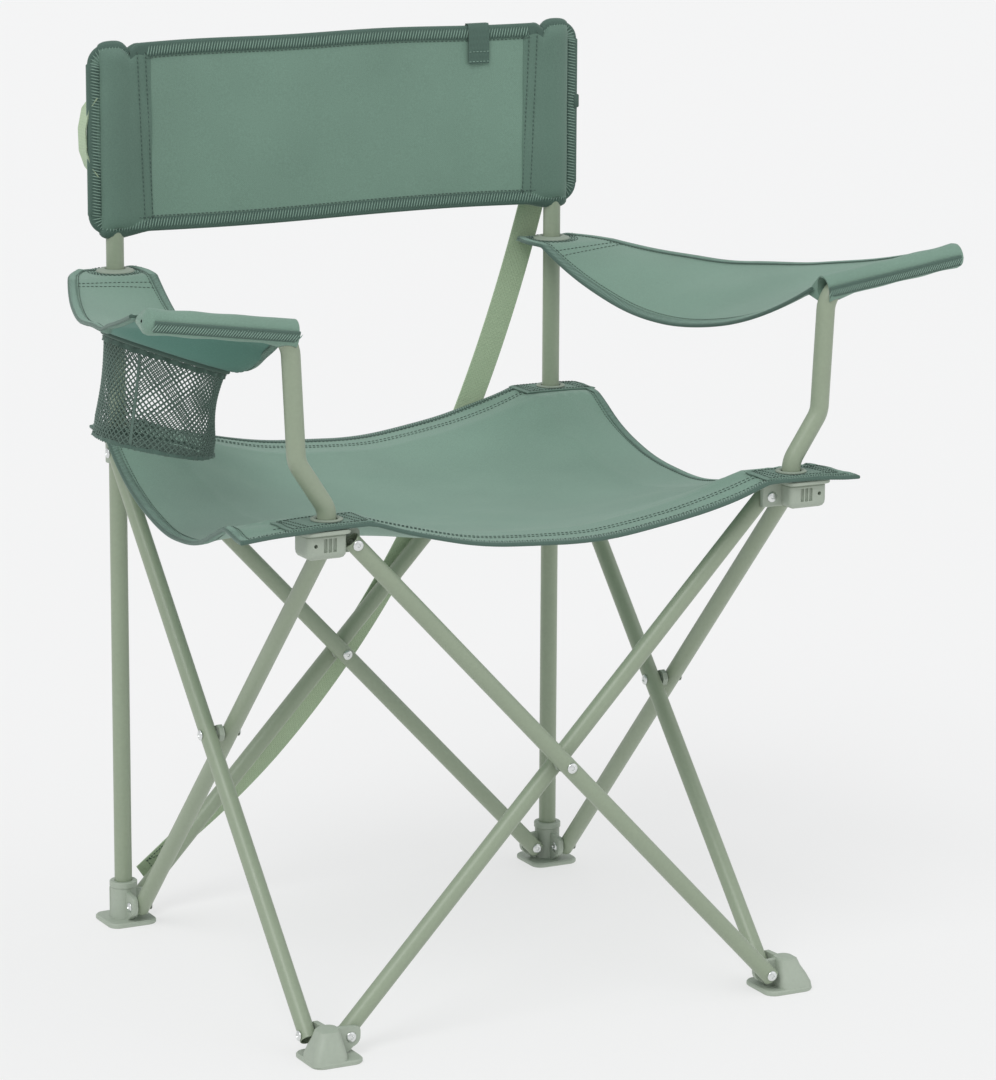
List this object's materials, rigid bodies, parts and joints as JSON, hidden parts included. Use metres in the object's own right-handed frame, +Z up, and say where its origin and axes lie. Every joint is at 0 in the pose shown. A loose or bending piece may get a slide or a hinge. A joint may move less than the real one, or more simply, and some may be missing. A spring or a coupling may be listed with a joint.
{
  "type": "folding camping armchair",
  "caption": "Folding armchair with a crossed-tube frame, a sling seat and backrest, cloth armrests and a net cup holder.",
  "frame": {"origin": "on the floor, midway between the four feet", "axes": "+Z up; the sitter faces -Y; +X is toward the armrest without the cup holder"},
  "size_m": [0.778, 0.494, 0.806],
  "materials": {
    "painted_tube": "satin powder coat",
    "plastic": "moulded, satin",
    "zinc": "zinc plated",
    "cloth": "plain-woven polyester",
    "edge_tape": "overlocked edge tape",
    "net": "knotted net",
    "webbing": "woven webbing"
  },
  "bodies": {
    "root": {"rear_left_foot": "plastic", "rear_left_upright": "painted_tube", "rear_left_upright_cap": "plastic", "rear_outer_foot_rivet": "zinc", "left_inner_foot_rivet": "zinc", "backrest": "cloth", "carry_strap": "webbing"},
    "rear_outer": {"rear_outer_tube": "painted_tube", "rear_crossing_rivet": "zinc", "rear_crossing_spacer": "plastic"},
    "rear_inner": {"rear_inner_tube": "painted_tube"},
    "rear_left_sleeve": {"rear_left_sleeve": "plastic", "rear_inner_top_rivet": "zinc", "left_outer_top_rivet": "zinc"},
    "rear_right_foot": {"rear_right_foot": "plastic", "rear_right_upright": "painted_tube", "rear_right_upright_cap": "plastic", "rear_inner_foot_rivet": "zinc", "right_outer_foot_rivet": "zinc"},
    "rear_right_sleeve": {"rear_right_sleeve": "plastic", "rear_outer_top_rivet": "zinc", "right_inner_top_rivet": "zinc"},
    "left_inner": {"left_inner_tube": "painted_tube", "left_crossing_rivet": "zinc", "left_crossing_spacer": "plastic"},
    "left_outer": {"left_outer_tube": "painted_tube"},
    "front_left_bracket": {"front_left_bracket": "plastic", "left_arm_tube": "painted_tube", "left_inner_top_rivet": "zinc", "front_outer_top_rivet": "zinc"},
    "front_left_foot": {"front_left_foot": "plastic", "left_outer_foot_rivet": "zinc", "front_inner_foot_rivet": "zinc"},
    "front_inner": {"front_inner_tube": "painted_tube", "front_crossing_rivet": "zinc", "front_crossing_spacer": "plastic"},
    "front_outer": {"front_outer_tube": "painted_tube"},
    "front_right_bracket": {"front_right_bracket": "plastic", "right_arm_tube": "painted_tube", "front_inner_top_rivet": "zinc", "right_outer_top_rivet": "zinc"},
    "front_right_foot": {"front_right_foot": "plastic", "front_outer_foot_rivet": "zinc", "right_inner_foot_rivet": "zinc"},
    "right_outer": {"right_outer_tube": "painted_tube", "right_crossing_rivet": "zinc", "right_crossing_spacer": "plastic"},
    "right_inner": {"right_inner_tube": "painted_tube"},
    "seat_front": {"seat_front_binding": "edge_tape"},
    "seat_left": {"seat_left_binding": "edge_tape"},
    "seat_rear": {"seat_rear_binding": "edge_tape", "seat_panel": "cloth"},
    "seat_right": {"seat_right_binding": "edge_tape"},
    "left_armrest": {"left_armrest": "cloth", "cup_ring": "edge_tape", "cup_net": "net"},
    "right_armrest": {"right_armrest": "cloth"},
    "left_armrest_ring": {"left_armrest_ring": "plastic"},
    "right_armrest_ring": {"right_armrest_ring": "plastic"}
  },
  "joints": [
    {"name": "rear_fold", "type": "hinge", "parent": "root", "child": "rear_outer", "pos_m": [-0.2, 0.22, 0.018], "axis": [0, -1, 0], "range_deg": [0, 37], "deforming": ["backrest", "carry_strap"]},
    {"name": "rear_crossing", "type": "hinge", "parent": "rear_outer", "child": "rear_inner", "pos_m": [0, 0.22, 0.2305], "axis": [0, 1, 0], "range_deg": [0, 74]},
    {"name": "rear_left_sleeve_hinge", "type": "hinge", "parent": "rear_inner", "child": "rear_left_sleeve", "pos_m": [-0.2, 0.22, 0.443], "axis": [0, -1, 0], "range_deg": [0, 37]},
    {"name": "rear_right_foot_hinge", "type": "hinge", "parent": "rear_inner", "child": "rear_right_foot", "pos_m": [0.2, 0.22, 0.018], "axis": [0, -1, 0], "range_deg": [0, 37]},
    {"name": "rear_right_sleeve_hinge", "type": "hinge", "parent": "rear_outer", "child": "rear_right_sleeve", "pos_m": [0.2, 0.22, 0.443], "axis": [0, 1, 0], "range_deg": [0, 37]},
    {"name": "left_fold", "type": "hinge", "parent": "root", "child": "left_inner", "pos_m": [-0.22, 0.2, 0.018], "axis": [-1, 0, 0], "range_deg": [0, 37]},
    {"name": "left_crossing", "type": "hinge", "parent": "left_inner", "child": "left_outer", "pos_m": [-0.22, 0, 0.2305], "axis": [1, 0, 0], "range_deg": [0, 74]},
    {"name": "front_left_bracket_hinge", "type": "hinge", "parent": "left_inner", "child": "front_left_bracket", "pos_m": [-0.22, -0.2, 0.443], "axis": [1, 0, 0], "range_deg": [0, 37]},
    {"name": "front_left_foot_hinge", "type": "hinge", "parent": "left_outer", "child": "front_left_foot", "pos_m": [-0.22, -0.2, 0.018], "axis": [-1, 0, 0], "range_deg": [0, 37]},
    {"name": "front_fold", "type": "hinge", "parent": "front_left_foot", "child": "front_inner", "pos_m": [-0.2, -0.22, 0.018], "axis": [0, -1, 0], "range_deg": [0, 37]},
    {"name": "front_crossing", "type": "hinge", "parent": "front_inner", "child": "front_outer", "pos_m": [0, -0.22, 0.2305], "axis": [0, 1, 0], "range_deg": [0, 74]},
    {"name": "front_right_bracket_hinge", "type": "hinge", "parent": "front_inner", "child": "front_right_bracket", "pos_m": [0.2, -0.22, 0.443], "axis": [0, 1, 0], "range_deg": [0, 37]},
    {"name": "front_right_foot_hinge", "type": "hinge", "parent": "front_outer", "child": "front_right_foot", "pos_m": [0.2, -0.22, 0.018], "axis": [0, -1, 0], "range_deg": [0, 37]},
    {"name": "right_fold", "type": "hinge", "parent": "rear_right_foot", "child": "right_outer", "pos_m": [0.22, 0.2, 0.018], "axis": [-1, 0, 0], "range_deg": [0, 37]},
    {"name": "right_crossing", "type": "hinge", "parent": "right_outer", "child": "right_inner", "pos_m": [0.22, 0, 0.2305], "axis": [1, 0, 0], "range_deg": [0, 74]},
    {"name": "seat_front_fold", "type": "hinge", "parent": "front_left_bracket", "child": "seat_front", "pos_m": [0, -0.22, 0.4605], "axis": [-1, 0, 0], "range_deg": [0, 60], "deforming": ["seat_front_binding"]},
    {"name": "seat_left_fold", "type": "hinge", "parent": "rear_left_sleeve", "child": "seat_left", "pos_m": [-0.22, 0, 0.4605], "axis": [0, 1, 0], "range_deg": [0, 60], "deforming": ["seat_left_binding"]},
    {"name": "seat_rear_fold", "type": "hinge", "parent": "rear_left_sleeve", "child": "seat_rear", "pos_m": [0, 0.22, 0.4605], "axis": [1, 0, 0], "range_deg": [0, 60], "deforming": ["seat_rear_binding", "seat_panel"]},
    {"name": "seat_right_fold", "type": "hinge", "parent": "rear_right_sleeve", "child": "seat_right", "pos_m": [0.22, 0, 0.4605], "axis": [0, -1, 0], "range_deg": [0, 60], "deforming": ["seat_right_binding"]},
    {"name": "left_armrest_fold", "type": "hinge", "parent": "front_left_bracket", "child": "left_armrest", "pos_m": [-0.22, -0.22, 0.6305], "axis": [-1, 0, 0], "range_deg": [0, 54], "deforming": ["left_armrest", "cup_ring", "cup_net"]},
    {"name": "right_armrest_fold", "type": "hinge", "parent": "front_right_bracket", "child": "right_armrest", "pos_m": [0.22, -0.22, 0.6305], "axis": [-1, 0, 0], "range_deg": [0, 54], "deforming": ["right_armrest"]},
    {"name": "left_armrest_ring_slide", "type": "slide", "parent": "root", "child": "left_armrest_ring", "axis": [0, 0, 1], "range_m": [0, 0.026]},
    {"name": "right_armrest_ring_slide", "type": "slide", "parent": "rear_right_foot", "child": "right_armrest_ring", "axis": [0, 0, 1], "range_m": [0, 0.026]}
  ],
  "couplings": [
    {"joint": "rear_crossing", "follows": "rear_fold", "ratio": 2},
    {"joint": "rear_left_sleeve_hinge", "follows": "rear_fold", "ratio": 1},
    {"joint": "rear_right_foot_hinge", "follows": "rear_fold", "ratio": 1},
    {"joint": "rear_right_sleeve_hinge", "follows": "rear_fold", "ratio": 1},
    {"joint": "left_fold", "follows": "rear_fold", "ratio": 1},
    {"joint": "left_crossing", "follows": "rear_fold", "ratio": 2},
    {"joint": "front_left_bracket_hinge", "follows": "rear_fold", "ratio": 1},
    {"joint": "front_left_foot_hinge", "follows": "rear_fold", "ratio": 1},
    {"joint": "front_fold", "follows": "rear_fold", "ratio": 1},
    {"joint": "front_crossing", "follows": "rear_fold", "ratio": 2},
    {"joint": "front_right_bracket_hinge", "follows": "rear_fold", "ratio": 1},
    {"joint": "front_right_foot_hinge", "follows": "rear_fold", "ratio": 1},
    {"joint": "right_fold", "follows": "rear_fold", "ratio": 1},
    {"joint": "right_crossing", "follows": "rear_fold", "ratio": 2},
    {"joint": "seat_front_fold", "follows": "rear_fold", "ratio": 1.6216},
    {"joint": "seat_left_fold", "follows": "rear_fold", "ratio": 1.6216},
    {"joint": "seat_rear_fold", "follows": "rear_fold", "ratio": 1.6216},
    {"joint": "seat_right_fold", "follows": "rear_fold", "ratio": 1.6216},
    {"joint": "left_armrest_fold", "follows": "rear_fold", "ratio": 1.4595},
    {"joint": "right_armrest_fold", "follows": "rear_fold", "ratio": 1.4595},
    {"joint": "left_armrest_ring_slide", "follows": "rear_fold", "m_per_rad": 0.040262},
    {"joint": "right_armrest_ring_slide", "follows": "rear_fold", "m_per_rad": 0.040262}
  ]
}
